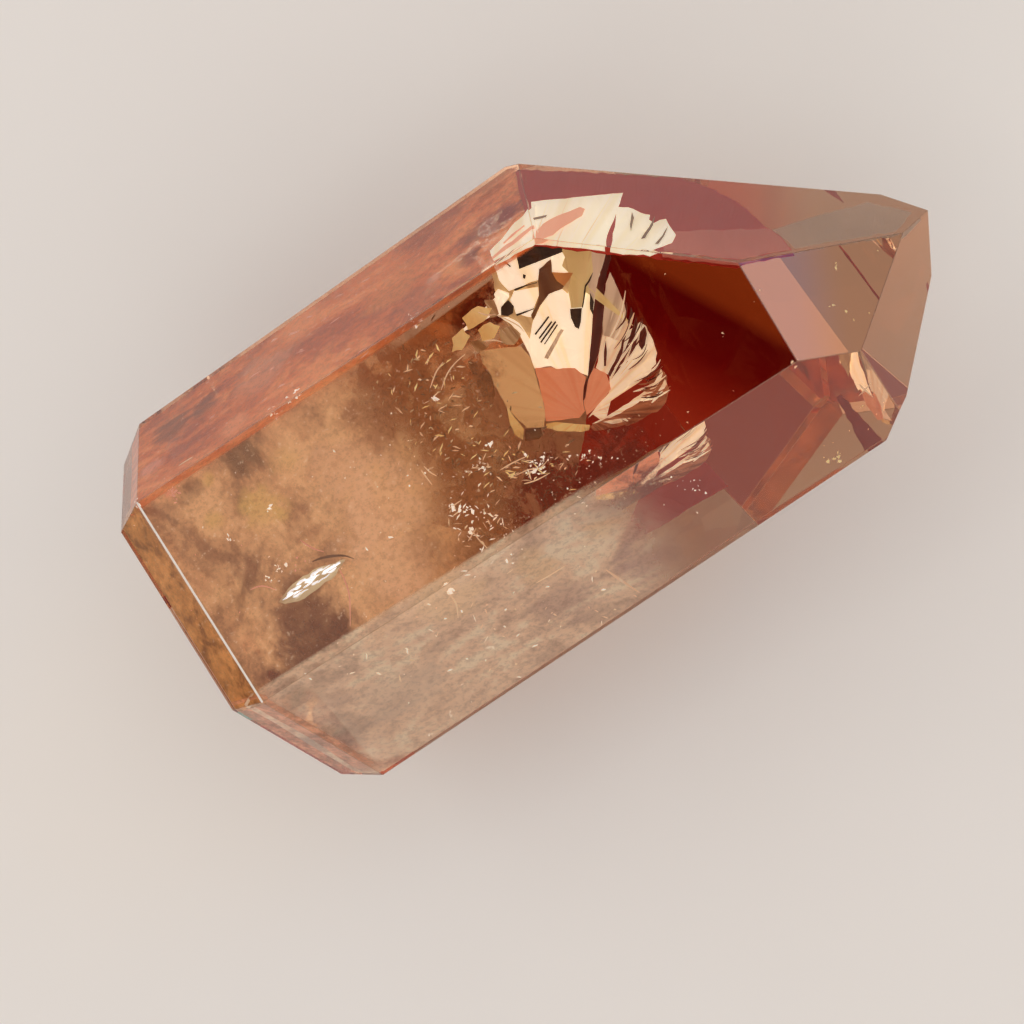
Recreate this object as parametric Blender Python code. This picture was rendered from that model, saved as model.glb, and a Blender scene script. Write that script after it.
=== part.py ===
"""Polished citrine point: one quartz crystal, ground and polished flat on every side.

The long axis lies along X with the tip at +X. The stone rests on its back face at z = 0, and the
origin is below the middle of the stone. Every face is one flat cut, as on a grinding wheel: a
rough block is cut by one plane after another until only the crystal's own form is left.
"""

import bmesh
import bpy
from math import cos, radians, sin
from mathutils import Vector

OBJECT_NAME = "polished_citrine_point"
NODE_NAME = "citrine_point"
MM = 0.001

# The rough block that the stone is cut from
BLOCK_SIDE_MM = 80.0

# The face that the stone lies on, and the front face over it
THICKNESS_MM = 21.8

# How far the long sides run back from the middle, and the bevel around the cut base
BASE_RIM_MM = 20.7
BASE_BEVEL_ALONG_MM = 2.15
BASE_BEVEL_IN_MM = 1.2

# Cuts are (turn, lean, reach): turn is the angle about the long axis, from +Z towards +Y, lean is
# the angle towards the tip, and reach is the distance of the face from the origin.
FRONT_CUT = (0.0, 0.0, THICKNESS_MM)
REST_CUT = (180.0, 0.0, 0.0)
NARROW_SIDE_CUT = (55.1, 1.3, 17.9)
WIDE_SIDE_CUT = (-58.3, -1.2, 16.75)
BACK_NARROW_CUT = (119.6, -1.1, 3.8)
BACK_WIDE_CUT = (-118.1, 1.4, 4.9)
PRISM_CUTS = (FRONT_CUT, NARROW_SIDE_CUT, WIDE_SIDE_CUT, BACK_NARROW_CUT, BACK_WIDE_CUT, REST_CUT)

# The six faces of the point, one over each long side, and the small trim facet beside them
LONG_TIP_CUT = (54.2, 35.4, 17.95)
FRONT_TIP_CUT = (-1.6, 33.1, 25.8)
WIDE_TIP_CUT = (-63.4, 46.0, 22.8)
BACK_LONG_TIP_CUT = (114.6, 35.7, 7.36)
REST_TIP_CUT = (177.1, 37.3, 2.5)
BACK_WIDE_TIP_CUT = (-115.1, 39.5, 13.45)
TRIM_FACET_CUT = (-94.5, 31.9, 16.85)
TIP_CUTS = (
    LONG_TIP_CUT,
    FRONT_TIP_CUT,
    WIDE_TIP_CUT,
    BACK_LONG_TIP_CUT,
    REST_TIP_CUT,
    BACK_WIDE_TIP_CUT,
    TRIM_FACET_CUT,
)

# Points closer together than this are one corner
SNAP_MM = 0.001


def cut_normal(turn, lean):
    """The outward direction of a face, from its turn about X and its lean towards the tip."""
    across = cos(radians(lean))
    return Vector((
        sin(radians(lean)),
        across * sin(radians(turn)),
        across * cos(radians(turn)),
    ))


def grind_flat(stone, normal, reach_mm):
    """Cut everything off that lies past one plane, and close the cut with a flat face."""
    everything = stone.verts[:] + stone.edges[:] + stone.faces[:]
    bmesh.ops.bisect_plane(
        stone,
        geom=everything,
        dist=SNAP_MM * MM,
        plane_co=normal * (reach_mm * MM),
        plane_no=normal,
        clear_outer=True,
    )
    rim = [edge for edge in stone.edges if edge.is_boundary]
    closed = bmesh.ops.edgeloop_fill(stone, edges=rim)
    bmesh.ops.recalc_face_normals(stone, faces=stone.faces[:])
    return closed["faces"]


def bevel_base(stone):
    """Cut the base square, then draw its middle out, which leaves a sloping rim all round."""
    base = grind_flat(stone, Vector((-1.0, 0.0, 0.0)), BASE_RIM_MM)
    bmesh.ops.inset_region(
        stone,
        faces=base,
        thickness=BASE_BEVEL_IN_MM * MM,
        depth=BASE_BEVEL_ALONG_MM * MM,
        use_even_offset=True,
    )


def citrine_material():
    """Smoky golden quartz with a polished surface."""
    material = bpy.data.materials.new("smoky_citrine")
    material.use_nodes = True
    shader = material.node_tree.nodes["Principled BSDF"]
    shader.inputs["Base Color"].default_value = (0.42, 0.27, 0.12, 1.0)
    shader.inputs["Roughness"].default_value = 0.04
    shader.inputs["Metallic"].default_value = 0.0
    return material


def citrine_point(collection):
    """The whole stone, in one closed solid."""
    stone = bmesh.new()
    bmesh.ops.create_cube(stone, size=BLOCK_SIDE_MM * MM)
    for turn, lean, reach_mm in PRISM_CUTS:
        grind_flat(stone, cut_normal(turn, lean), reach_mm)
    for turn, lean, reach_mm in TIP_CUTS:
        grind_flat(stone, cut_normal(turn, lean), reach_mm)
    bevel_base(stone)
    mesh = bpy.data.meshes.new(NODE_NAME)
    stone.to_mesh(mesh)
    stone.free()
    mesh.materials.append(citrine_material())
    point = bpy.data.objects.new(NODE_NAME, mesh)
    collection.objects.link(point)
    return point


def main():
    for old in list(bpy.data.objects):
        bpy.data.objects.remove(old)
    collection = bpy.data.collections.new(OBJECT_NAME)
    bpy.context.scene.collection.children.link(collection)
    citrine_point(collection)


main()
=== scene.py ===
# %% [markdown]
# # A polished citrine point
# This lesson dresses one clear crystal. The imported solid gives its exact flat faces, and here it gets
# what makes a real stone look like one: clear smoky quartz that darkens with depth, worn edges, and
# the cracks, haze and sparkles that hang inside it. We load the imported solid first, because every
# piece below is placed in its frame.

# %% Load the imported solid
import random
from math import cos, pi, radians, sin, sqrt

import bmesh
import bpy
from mathutils import Matrix, Vector, noise
from mathutils.bvhtree import BVHTree


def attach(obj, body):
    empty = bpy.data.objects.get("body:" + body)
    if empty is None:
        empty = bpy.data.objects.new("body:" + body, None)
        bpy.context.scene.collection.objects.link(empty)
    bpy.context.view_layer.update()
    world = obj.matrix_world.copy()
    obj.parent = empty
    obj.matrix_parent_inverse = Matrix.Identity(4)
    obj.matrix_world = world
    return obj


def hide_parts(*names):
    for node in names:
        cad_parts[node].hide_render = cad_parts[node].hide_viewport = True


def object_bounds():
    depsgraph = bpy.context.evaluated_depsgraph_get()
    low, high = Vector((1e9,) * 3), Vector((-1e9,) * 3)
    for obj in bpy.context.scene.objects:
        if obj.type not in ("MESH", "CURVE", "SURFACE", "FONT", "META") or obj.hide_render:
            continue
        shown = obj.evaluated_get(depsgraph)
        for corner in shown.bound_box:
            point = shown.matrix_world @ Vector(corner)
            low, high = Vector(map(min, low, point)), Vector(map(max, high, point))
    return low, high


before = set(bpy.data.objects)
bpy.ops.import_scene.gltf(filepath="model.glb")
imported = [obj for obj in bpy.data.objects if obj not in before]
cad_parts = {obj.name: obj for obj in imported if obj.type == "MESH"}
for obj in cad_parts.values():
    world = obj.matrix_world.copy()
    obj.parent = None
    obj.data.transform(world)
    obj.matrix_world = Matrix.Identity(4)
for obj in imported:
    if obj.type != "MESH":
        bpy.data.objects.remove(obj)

MM = 0.001
NODE = "citrine_point"
BODY = "root"
cad_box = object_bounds()
print("solid box, mm:", [[round(value / MM, 2) for value in corner] for corner in cad_box])

# %% [markdown]
# ## The camera
# The photograph looks down on the stone with a long lens, so its long edges stay nearly parallel.
# A lens can't be read off a picture, but the corners of the flat faces can: the place, the aim and
# the roll below bring the corners of the solid to within two pixels of those in the photograph. The
# picture's own upward direction says how far the camera is rolled.

# %% Place and aim the camera
PICTURE_SIDE = 1024
LENS_MM = 90.0
SENSOR_MM = 36.0
CAMERA_PLACE = Vector((27.79, -17.5, 151.94)) * MM
CAMERA_AIM = Vector((-5.905, -3.69, 10.9)) * MM
PICTURE_UP = Vector((0.5453, 0.8369, -0.0483))

forward = (CAMERA_AIM - CAMERA_PLACE).normalized()
picture_right = forward.cross(PICTURE_UP).normalized()
picture_up = picture_right.cross(forward)
camera_data = bpy.data.cameras.new("camera")
camera_data.lens = LENS_MM
camera_data.sensor_width = SENSOR_MM
camera_data.clip_start = 0.01
camera = bpy.data.objects.new("camera", camera_data)
turned = Matrix((picture_right, picture_up, -forward)).transposed().to_4x4()
camera.matrix_world = Matrix.Translation(CAMERA_PLACE) @ turned
bpy.context.scene.collection.objects.link(camera)
bpy.context.scene.camera = camera
print("camera is", round((CAMERA_AIM - CAMERA_PLACE).length / MM), "mm from the stone")

# %% [markdown]
# ## Looking into the stone
# What floats inside a crystal isn't where it seems to be, because the polished face bends the view.
# So a feature is placed as the eye finds it: a ray leaves the camera through a pixel of the
# photograph, meets the stone's face, bends as it enters the quartz, and runs on to the height at
# which the feature lies. Placed this way, a crack shows where the photograph has it, and its second
# image in the next face follows by itself.

# %% A ray through a pixel, bent at the face
QUARTZ_IOR = 1.55
FRONT_HEIGHT = cad_box[1][2]
stone_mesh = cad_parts[NODE].data
stone_tree = BVHTree.FromPolygons(
    [vertex.co.copy() for vertex in stone_mesh.vertices],
    [polygon.vertices[:] for polygon in stone_mesh.polygons],
)


def ray_through(pixel):
    """The direction in which the camera looks through one pixel."""
    focal = LENS_MM / SENSOR_MM * PICTURE_SIDE
    aside = (pixel[0] - PICTURE_SIDE / 2) / focal
    above = (PICTURE_SIDE / 2 - pixel[1]) / focal
    return (forward + picture_right * aside + picture_up * above).normalized()


def bent(ray, normal):
    """The ray inside the quartz, after the face has bent it."""
    ratio = 1 / QUARTZ_IOR
    head_on = -ray.dot(normal)
    inner = sqrt(1 - ratio * ratio * (1 - head_on * head_on))
    return (ray * ratio + normal * (ratio * head_on - inner)).normalized()


def face_at(pixel):
    """A point and the outward direction of the face that shows at a pixel."""
    hit, normal, *others = stone_tree.ray_cast(CAMERA_PLACE, ray_through(pixel))
    return hit, normal


def seen_under(face, pixel, depth_mm):
    """The point that shows at a pixel through a face and lies at a depth under it."""
    point, normal = face
    ray = ray_through(pixel)
    hit = CAMERA_PLACE + ray * ((point - CAMERA_PLACE).dot(normal) / ray.dot(normal))
    inner = bent(ray, normal)
    return hit - inner * (depth_mm * MM / inner.dot(normal))


# %% The faces that the camera sees, each found by one pixel on it
FRONT = face_at((400, 450))
NARROW_SIDE = face_at((300, 350))
WIDE_SIDE = face_at((540, 600))
LONG_TIP = face_at((700, 215))
FRONT_TIP = face_at((820, 300))
FRONT_BEVEL = face_at((165, 565))
WIDE_BEVEL = face_at((240, 712))


def seen_at(pixel, height_mm):
    """The point that shows at a pixel through the front face and lies at a height."""
    return seen_under(FRONT, pixel, FRONT_HEIGHT / MM - height_mm)


def under(face, depth_mm):
    """A way to place pixels: through a face, at a depth under it."""
    def place(pixel, lift_mm=0.0):
        return seen_under(face, pixel, depth_mm - lift_mm)
    return place


# The edges between the faces, each by two pixels on it
NARROW_EDGE = ((137, 504), (534, 238))
WIDE_EDGE = ((261, 696), (798, 361))
LONG_TIP_EDGE = ((518, 164), (534, 238))

print("middle of the crack, mm:", [round(value / MM, 2) for value in seen_at((584, 340), 10.8)])

# %% [markdown]
# ## Shader maths as plain arithmetic
# A material is a small program of nodes. Written one node at a time it hides its own sense, so a
# small class wraps a socket: `1 - mask` or `grain * 0.3` then adds the Math nodes by itself, and
# `node` adds every other kind.

# %% The two helpers that all materials use
class Flow:
    """An output socket that arithmetic can be done with."""

    def __init__(self, finish, socket):
        self.finish = finish
        self.socket = socket

    def maths(self, operation, *others):
        inputs = dict(enumerate((self,) + others))
        return self.finish.node("Math", {"operation": operation}, inputs)

    def __add__(self, other):
        return self.maths("ADD", other)

    __radd__ = __add__

    def __sub__(self, other):
        return self.maths("SUBTRACT", other)

    def __rsub__(self, other):
        return (self * -1.0) + other

    def __mul__(self, other):
        return self.maths("MULTIPLY", other)

    __rmul__ = __mul__

    def between(self, low, high):
        """0 below low, 1 above high, and a smooth rise from one to the other."""
        inputs = {"Value": self, "From Min": low, "From Max": high}
        return self.finish.node("MapRange", {"interpolation_type": "SMOOTHSTEP"}, inputs, "Result")


class Finish:
    """The nodes of one material, or of the room's light."""

    def __init__(self, owner):
        self.material = owner
        if isinstance(owner, str):
            self.material = bpy.data.materials.new(owner)
            self.material.cycles.emission_sampling = "NONE"
        self.material.use_nodes = True
        self.tree = self.material.node_tree
        self.shader = self.tree.nodes.get("Principled BSDF")
        self.output = self.tree.nodes.get("Material Output")

    def plug(self, socket, value):
        if isinstance(value, Flow):
            self.tree.links.new(value.socket, socket)
        elif isinstance(value, tuple) and len(value) == 3 and socket.type == "RGBA":
            socket.default_value = (*value, 1.0)
        else:
            socket.default_value = value

    def node(self, kind, settings, inputs, output=0):
        """Add one node: its settings first, then the values or links of its sockets."""
        made = self.tree.nodes.new("ShaderNode" + kind)
        stops = settings.pop("stops", None)
        for setting, value in settings.items():
            setattr(made, setting, value)
        if stops:
            ramp = made.color_ramp
            while len(ramp.elements) < len(stops):
                ramp.elements.new(1.0)
            for element, (place, colour) in zip(ramp.elements, stops):
                element.position = place
                element.color = (*colour, 1.0)
        for name, value in inputs.items():
            by_id = [s for s in made.inputs if s.identifier == name]
            self.plug(by_id[0] if by_id else made.inputs[name], value)
        by_id = [s for s in made.outputs if s.identifier == output]
        return Flow(self, by_id[0] if by_id else made.outputs[output])

    def noise(self, scale, detail=3.0, roughness=0.5):
        """Cloudy noise in the stone's own frame, from 0 to 1."""
        place = self.node("TexCoord", {}, {}, "Object")
        inputs = {"Vector": place, "Scale": scale, "Detail": detail, "Roughness": roughness}
        return self.node("TexNoise", {}, inputs, "Fac")

    def ramp(self, value, *stops):
        """A colour for each value, between the stops."""
        return self.node("ValToRGB", {"stops": stops}, {"Fac": value}, "Color")

    def mix(self, factor, first, second):
        """Two colours, mixed."""
        inputs = {"Factor_Float": factor, "A_Color": first, "B_Color": second}
        return self.node("Mix", {"data_type": "RGBA"}, inputs, "Result_Color")

    def surface(self, **inputs):
        """Set the shader's sockets: base_color stands for Base Color."""
        for name, value in inputs.items():
            self.plug(self.shader.inputs[name.replace("_", " ").title().replace("Ior", "IOR")], value)
        return self


# %% [markdown]
# ## The floor and the light
# Clear stone shows its surroundings more than itself. A pale floor shines up through it, and the
# room gives one broad even light from all sides, a little dimmer towards the horizon and straight
# above. A few places in the room then shape what the faces show, as flags and a soft box do in a
# studio. The faces of the tip mirror the inside of the stone along its whole length and look out
# through the base, so what lies behind the base, seen through so much brown quartz, makes the deep
# red glow. One dark place keeps the glare off the front face, and one bright one is mirrored in
# the left half of the tip's front face.

# %% The pale floor
FLOOR_SIDE = 4.0
FLOOR_GAP_MM = 0.05
FLOOR_TINTS = ((0.83, 0.77, 0.71), (0.86, 0.80, 0.74))


def pale_floor():
    """A plain pale table top, a hair below the stone."""
    bpy.ops.mesh.primitive_plane_add(size=FLOOR_SIDE, location=(0, 0, -FLOOR_GAP_MM * MM))
    floor = bpy.context.object
    floor.name = "floor"
    finish = Finish("pale_table")
    grain = finish.noise(60.0, 2.0)
    finish.surface(base_color=finish.mix(grain, *FLOOR_TINTS), roughness=0.6)
    floor.data.materials.append(finish.material)


pale_floor()

# %% The room
ROOM_BRIGHT = (1.26, 1.24, 1.22)
ROOM_ABOVE = (0.62, 0.60, 0.58)
ROOM_LOW = (0.40, 0.38, 0.36)

# Heights, from 0 at the horizon to 1 straight above, where the room grows bright and dim again
BRIGHTENS = (0.30, 0.62)
DIMS = (0.84, 0.93)

# Places in the room: direction, half width of the even part and of the soft rim in degrees, colour
FLAGS = (
    ((-0.90, 0.40, 0.19), 2.0, 4.5, (0.40, 0.11, 0.06)),
    ((-0.70, -0.10, 0.71), 8.0, 16.0, (0.26, 0.07, 0.05)),
    ((-0.14, 0.11, 0.984), 6.0, 9.0, (0.02, 0.02, 0.02)),
)

# The dark cloth behind the base, in bands from low to high
CLOTH = (-0.96, 0.02, 0.28)
CLOTH_SIZE = (6.0, 9.0)
CLOTH_ACROSS = (0.0, 0.44, 1.0)
CLOTH_BANDS = (
    (0.250, (0.34, 0.06, 0.04)),
    (0.268, (0.24, 0.02, 0.012)),
    (0.284, (0.12, 0.0, 0.0)),
    (0.302, (0.09, 0.0, 0.0)),
    (0.308, (0.22, 0.05, 0.012)),
    (0.330, (0.25, 0.065, 0.016)),
)

# The soft box, by the pixels of the tip's front face that mirror its middle and its straight edge
SOFT_BOX_MIDDLE = (740, 300)
SOFT_BOX_EDGE = ((812, 255), (826, 353))
SOFT_BOX_SOFT = 0.012
SOFT_BOX_SIZE = (11.0, 14.0)
SOFT_BOX = (0.22, 1.05, 2.2)


def mirrored_direction(pixel):
    """Where the tip's front face sends the camera's ray."""
    return ray_through(pixel).reflect(FRONT_TIP[1])


def room():
    """Even light all round, with a few flags and one soft box."""
    finish = Finish(bpy.data.worlds.new("room"))
    towards = finish.node("TexCoord", {}, {}, "Generated")

    def along(direction):
        inputs = {0: towards, 1: tuple(direction)}
        return finish.node("VectorMath", {"operation": "DOT_PRODUCT"}, inputs, "Value")

    def place(direction, inner, outer):
        return along(Vector(direction).normalized()).between(cos(radians(outer)), cos(radians(inner)))

    height = along((0, 0, 1))
    light = finish.mix(height.between(*BRIGHTENS), ROOM_LOW, ROOM_BRIGHT)
    light = finish.mix(height.between(*DIMS), light, ROOM_ABOVE)
    low, high = CLOTH_BANDS[0][0], CLOTH_BANDS[-1][0]
    stops = [((at - low) / (high - low), colour) for at, colour in CLOTH_BANDS]
    bands = finish.ramp((along(CLOTH_ACROSS) - low) * (1 / (high - low)), *stops)
    light = finish.mix(place(CLOTH, *CLOTH_SIZE), light, bands)
    for direction, inner, outer, colour in FLAGS:
        light = finish.mix(place(direction, inner, outer), light, colour)
    top, bottom = (mirrored_direction(pixel) for pixel in SOFT_BOX_EDGE)
    left_of_edge = along(bottom.cross(top).normalized()).between(-SOFT_BOX_SOFT, SOFT_BOX_SOFT)
    middle = mirrored_direction(SOFT_BOX_MIDDLE)
    box = left_of_edge * place(middle, *SOFT_BOX_SIZE)
    light = finish.mix(box, light, SOFT_BOX)
    finish.plug(finish.tree.nodes["Background"].inputs["Color"], light)
    bpy.context.scene.world = finish.material
    print("soft box lies towards", tuple(round(value, 2) for value in middle))


room()
view = bpy.context.scene.view_settings
view.view_transform = "Standard"
cycles = bpy.context.scene.cycles
cycles.max_bounces = 14
cycles.transmission_bounces = 14
cycles.transparent_max_bounces = 14
cycles.glossy_bounces = 8
cycles.diffuse_bounces = 2

# %% [markdown]
# ## The quartz
# Smoky citrine takes its colour from depth: a thin edge is olive and pale, and a long way through is
# a deep reddish brown. One plain Volume Absorption node does that. It is set by how much of each
# colour is lost on the way, so the two colours below come from one number each for red, green and
# blue. The polish itself is nearly perfect, so the surface is smooth glass.

# %% The clear quartz and its worn edges
LOST_PER_METRE = (5.0, 21.0, 36.0)
DENSITY = 100.0


def quartz(name, **inputs):
    """Quartz that darkens to red-brown with depth, under a surface of the given kind."""
    finish = Finish(name)
    colour = tuple(1 - lost / DENSITY for lost in LOST_PER_METRE)
    volume = finish.node("VolumeAbsorption", {}, {"Color": colour, "Density": DENSITY}, "Volume")
    finish.tree.links.new(volume.socket, finish.output.inputs["Volume"])
    return finish.surface(ior=QUARTZ_IOR, **inputs)


def clear_quartz():
    """Clear polished quartz."""
    white = (1.0, 1.0, 1.0)
    return quartz("smoky_citrine_quartz", base_color=white, roughness=0.0, transmission_weight=1.0).material


def worn_edge():
    """Quartz rubbed a little dull."""
    finish = quartz("worn_edge", roughness=0.25, transmission_weight=0.9)
    grain = finish.noise(2500.0, 3.0, 0.7)
    return finish.surface(base_color=finish.mix(grain, (0.72, 0.56, 0.38), (0.92, 0.82, 0.68))).material


def white_rim():
    """Quartz ground white by rubbing, with small nicks."""
    finish = quartz("white_rim", roughness=0.5, transmission_weight=0.15)
    nicks = finish.noise(4000.0, 3.0, 0.7)
    return finish.surface(base_color=finish.mix(nicks, (0.80, 0.70, 0.58), (1.0, 0.97, 0.92))).material


def mesh_of(bm, name):
    """The mesh of a bmesh, which is freed."""
    mesh = bpy.data.meshes.new(name)
    bm.to_mesh(mesh)
    bm.free()
    return mesh


def new_piece(name, mesh, *materials):
    """Put a mesh in the scene as a piece that rides with the stone."""
    for material in materials:
        mesh.materials.append(material)
    piece = bpy.data.objects.new(name, mesh)
    bpy.context.scene.collection.objects.link(piece)
    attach(piece, BODY)
    print(name, "has", len(mesh.polygons), "faces")
    return piece


EDGE_WEAR_MM = 0.035
RIM_WEAR_MM = 0.075
RIM_X_MM = -20.7
RIM_REACH_MM = 0.3
SAME_POINT_MM = 0.002
SAME_FACE_DEGREES = 0.5


def on_worn_rim(point):
    """True along the front edge of the base, the one that is rubbed white."""
    near_rim = abs(point.x / MM - RIM_X_MM) < RIM_REACH_MM
    return near_rim and point.z > FRONT_HEIGHT - RIM_REACH_MM * MM


def polished_stone():
    """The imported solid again, with its edges rubbed round, most of all the front edge of the base."""
    stone = bmesh.new()
    stone.from_mesh(stone_mesh)
    bmesh.ops.remove_doubles(stone, verts=stone.verts[:], dist=SAME_POINT_MM * MM)
    turn = radians(SAME_FACE_DEGREES)
    bmesh.ops.dissolve_limit(stone, angle_limit=turn, verts=stone.verts[:], edges=stone.edges[:])
    print("flat faces:", len(stone.faces), "edges:", len(stone.edges))
    mesh = mesh_of(stone, "polished_stone")
    wear = mesh.attributes.new("bevel_weight_edge", "FLOAT", "EDGE")
    for edge in mesh.edges:
        on_rim = all(on_worn_rim(mesh.vertices[index].co) for index in edge.vertices)
        wear.data[edge.index].value = 1.0 if on_rim else EDGE_WEAR_MM / RIM_WEAR_MM
    piece = new_piece("polished_stone", mesh, clear_quartz(), worn_edge(), white_rim())
    rubbed = piece.modifiers.new("rubbed_edges", "BEVEL")
    rubbed.limit_method = "WEIGHT"
    rubbed.width = RIM_WEAR_MM * MM
    rubbed.segments = 2
    rubbed.profile = 0.6
    rubbed.material = 1
    worn = bpy.data.meshes.new_from_object(piece.evaluated_get(bpy.context.evaluated_depsgraph_get()))
    piece.modifiers.clear()
    worn.shade_flat()
    piece.data = worn
    for polygon in worn.polygons:
        if polygon.material_index == 1 and on_worn_rim(polygon.center):
            polygon.material_index = 2
    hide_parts(NODE)
    return piece


polished_stone()

# %% [markdown]
# ## The great fan-shaped crack
# Half way down, a crack has opened along a curved break. Its film of air mirrors the light, and here
# that mirrored light is a painted reflection: the lobes and feathers that run out from where it began
# are cream and gold sheets with a painted glow, seen through the brown quartz. Each lobe is a thin
# curved sheet, drawn by its outline as the photograph shows it through the front face, and set in a
# shallow dish. The gaps between the lobes are dark flakes just above.

# %% The crack's root and its dished form
CRACK_ROOT = (584, 416)
CRACK_HEIGHT_MM = 10.6
CRACK_RISE_MM = 1.4
CRACK_REACH_PX = 170.0
root_point = seen_at(CRACK_ROOT, CRACK_HEIGHT_MM)


def on_crack(above_mm):
    """A way to place pixels: on the crack, which curves up from its root like a shallow dish."""
    def place(pixel, lift_mm=0.0):
        away = (Vector(pixel) - Vector(CRACK_ROOT)).length
        height = CRACK_HEIGHT_MM + CRACK_RISE_MM * (away / CRACK_REACH_PX) ** 2
        return seen_at(pixel, height + above_mm + lift_mm)
    return place


# %% What lies inside the stone
SAME_DIRECTION = 0.99999


def flat_faces():
    """A point and the direction of each flat face."""
    faces = []
    for polygon in stone_mesh.polygons:
        known = [normal for centre, normal in faces if normal.dot(polygon.normal) > SAME_DIRECTION]
        if not known:
            faces.append((polygon.center.copy(), polygon.normal.copy()))
    return faces


stone_faces = flat_faces()
print("the stone has", len(stone_faces), "flat faces")


def inside_stone(point, margin_mm=0.3):
    """True where a point is in the quartz, clear of every face."""
    return all((point - centre).dot(normal) < -margin_mm * MM for centre, normal in stone_faces)


# %% Thin sheets with a torn outline
TORN_STEP_PX = 6
LONG_EDGE_PX = 9
RIPPLES_PER_PX = 0.06


def pixels(*numbers):
    """Pixels of the photograph, from their places across and down in turn."""
    return tuple(zip(numbers[::2], numbers[1::2]))


def torn(outline, ragged_px, seed):
    """The same outline with more points, pushed in and out like a torn edge."""
    rng = random.Random(seed)
    points = []
    for number, corner in enumerate(outline):
        following = outline[(number + 1) % len(outline)]
        run = Vector(following) - Vector(corner)
        steps = max(1, round(run.length / TORN_STEP_PX))
        for step in range(steps):
            aside = Vector((-run.y, run.x)).normalized() * rng.uniform(-ragged_px, ragged_px)
            points.append(Vector(corner) + run * (step / steps) + aside * (step > 0))
    return points


def thin_sheets(name, outlines, place, material, ragged_px, seed, thick_mm=0.03, ripple_mm=0.1):
    """Thin flakes inside the stone, with their outlines as they show in the photograph."""
    joined = bmesh.new()
    for number, outline in enumerate(outlines):
        flake = bmesh.new()
        flake.faces.new([flake.verts.new((*point, 0)) for point in torn(outline, ragged_px, seed + number)])
        bmesh.ops.triangulate(flake, faces=flake.faces[:])
        long_edges = [edge for edge in flake.edges if edge.calc_length() > LONG_EDGE_PX]
        bmesh.ops.subdivide_edges(flake, edges=long_edges, cuts=2, use_grid_fill=True)
        for vertex in flake.verts:
            pixel = (vertex.co.x, vertex.co.y)
            wave = noise.noise(Vector((pixel[0] * RIPPLES_PER_PX, pixel[1] * RIPPLES_PER_PX, seed)))
            vertex.co = place(pixel, wave * ripple_mm)
        bmesh.ops.recalc_face_normals(flake, faces=flake.faces[:])
        bmesh.ops.solidify(flake, geom=flake.faces[:], thickness=thick_mm * MM)
        mesh = mesh_of(flake, name)
        joined.from_mesh(mesh)
        bpy.data.meshes.remove(mesh)
    return new_piece(name, mesh_of(joined, name), material)


def lay(*rows):
    """Lay sheets: name, way to place them, material, ragged edge, seed, and then their outlines."""
    for name, place, material, ragged_px, seed, *outlines in rows:
        thin_sheets(name, [pixels(*outline) for outline in outlines], place, material, ragged_px, seed)


# %% Films of air, ribbed and plain
RIBS_PER_METRE_OUT = 260.0


def crack_film(name, pale, deep, rib, ribs=22.0, lines=0.25, metallic=0.2, painted_glow=0.0):
    """A film of air, with faint ribs from the crack's root; bright ones are a painted reflection and glow."""
    finish = Finish(name)
    place = finish.node("TexCoord", {}, {}, "Object")
    away = finish.node("VectorMath", {"operation": "SUBTRACT"}, {0: place, 1: tuple(root_point)}, "Vector")
    along_x = finish.node("SeparateXYZ", {}, {"Vector": away}, "X")
    along_y = finish.node("SeparateXYZ", {}, {"Vector": away}, "Y")
    angle = along_y.maths("ARCTAN2", along_x)
    distance = finish.node("VectorMath", {"operation": "LENGTH"}, {0: away}, "Value")
    polar = finish.node("CombineXYZ", {}, {"X": angle * ribs, "Y": distance * RIBS_PER_METRE_OUT, "Z": 0.0})
    broad = finish.node("TexNoise", {}, {"Vector": polar, "Scale": 0.3, "Detail": 1.0}, "Fac")
    fine = finish.node("TexNoise", {}, {"Vector": polar, "Scale": 1.5, "Detail": 2.0}, "Fac")
    colour = finish.mix(broad.between(0.42, 0.66), pale, deep)
    colour = finish.mix(fine.between(0.62, 0.70) * lines, colour, rib)
    finish.surface(base_color=colour, emission_color=colour, emission_strength=painted_glow)
    return finish.surface(roughness=0.38, metallic=metallic).material


cream_film = crack_film(
    "cream_film", (1.0, 0.97, 0.83), (1.0, 0.88, 0.62), (0.80, 0.58, 0.34), ribs=30.0, lines=0.35, painted_glow=0.72)
feather_film = crack_film(
    "feather_film", (1.0, 0.91, 0.72), (0.88, 0.66, 0.44), (0.5, 0.25, 0.14), ribs=34.0, lines=0.6, painted_glow=0.42)
olive_cream_film = crack_film(
    "olive_cream_film", (0.90, 0.78, 0.40), (0.80, 0.66, 0.30), (0.50, 0.34, 0.12), painted_glow=0.24)
grey_film = crack_film(
    "grey_film", (0.86, 0.74, 0.58), (0.62, 0.50, 0.38), (1.0, 0.92, 0.76), ribs=40.0, lines=0.7, painted_glow=0.22)
salmon_film = crack_film(
    "salmon_film", (0.88, 0.38, 0.22), (0.80, 0.32, 0.18), (0.92, 0.50, 0.34), lines=0.4, metallic=0.0,
    painted_glow=0.34)
rim_film = crack_film(
    "rim_film", (0.72, 0.30, 0.16), (0.42, 0.14, 0.07), (0.92, 0.62, 0.40), ribs=44.0, lines=0.9,
    metallic=0.0, painted_glow=0.05)
olive_film = crack_film(
    "olive_film", (0.84, 0.56, 0.27), (0.76, 0.48, 0.22), (0.62, 0.40, 0.18), metallic=0.0, painted_glow=0.30)
upper_film = crack_film(
    "upper_film", (0.98, 0.88, 0.68), (0.90, 0.74, 0.50), (0.66, 0.42, 0.24), ribs=34.0, lines=0.6, painted_glow=0.40)
bed_film = crack_film(
    "bed_film", (0.74, 0.56, 0.32), (0.44, 0.25, 0.11), (0.95, 0.84, 0.62), ribs=46.0, lines=0.9, painted_glow=0.14)
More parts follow.
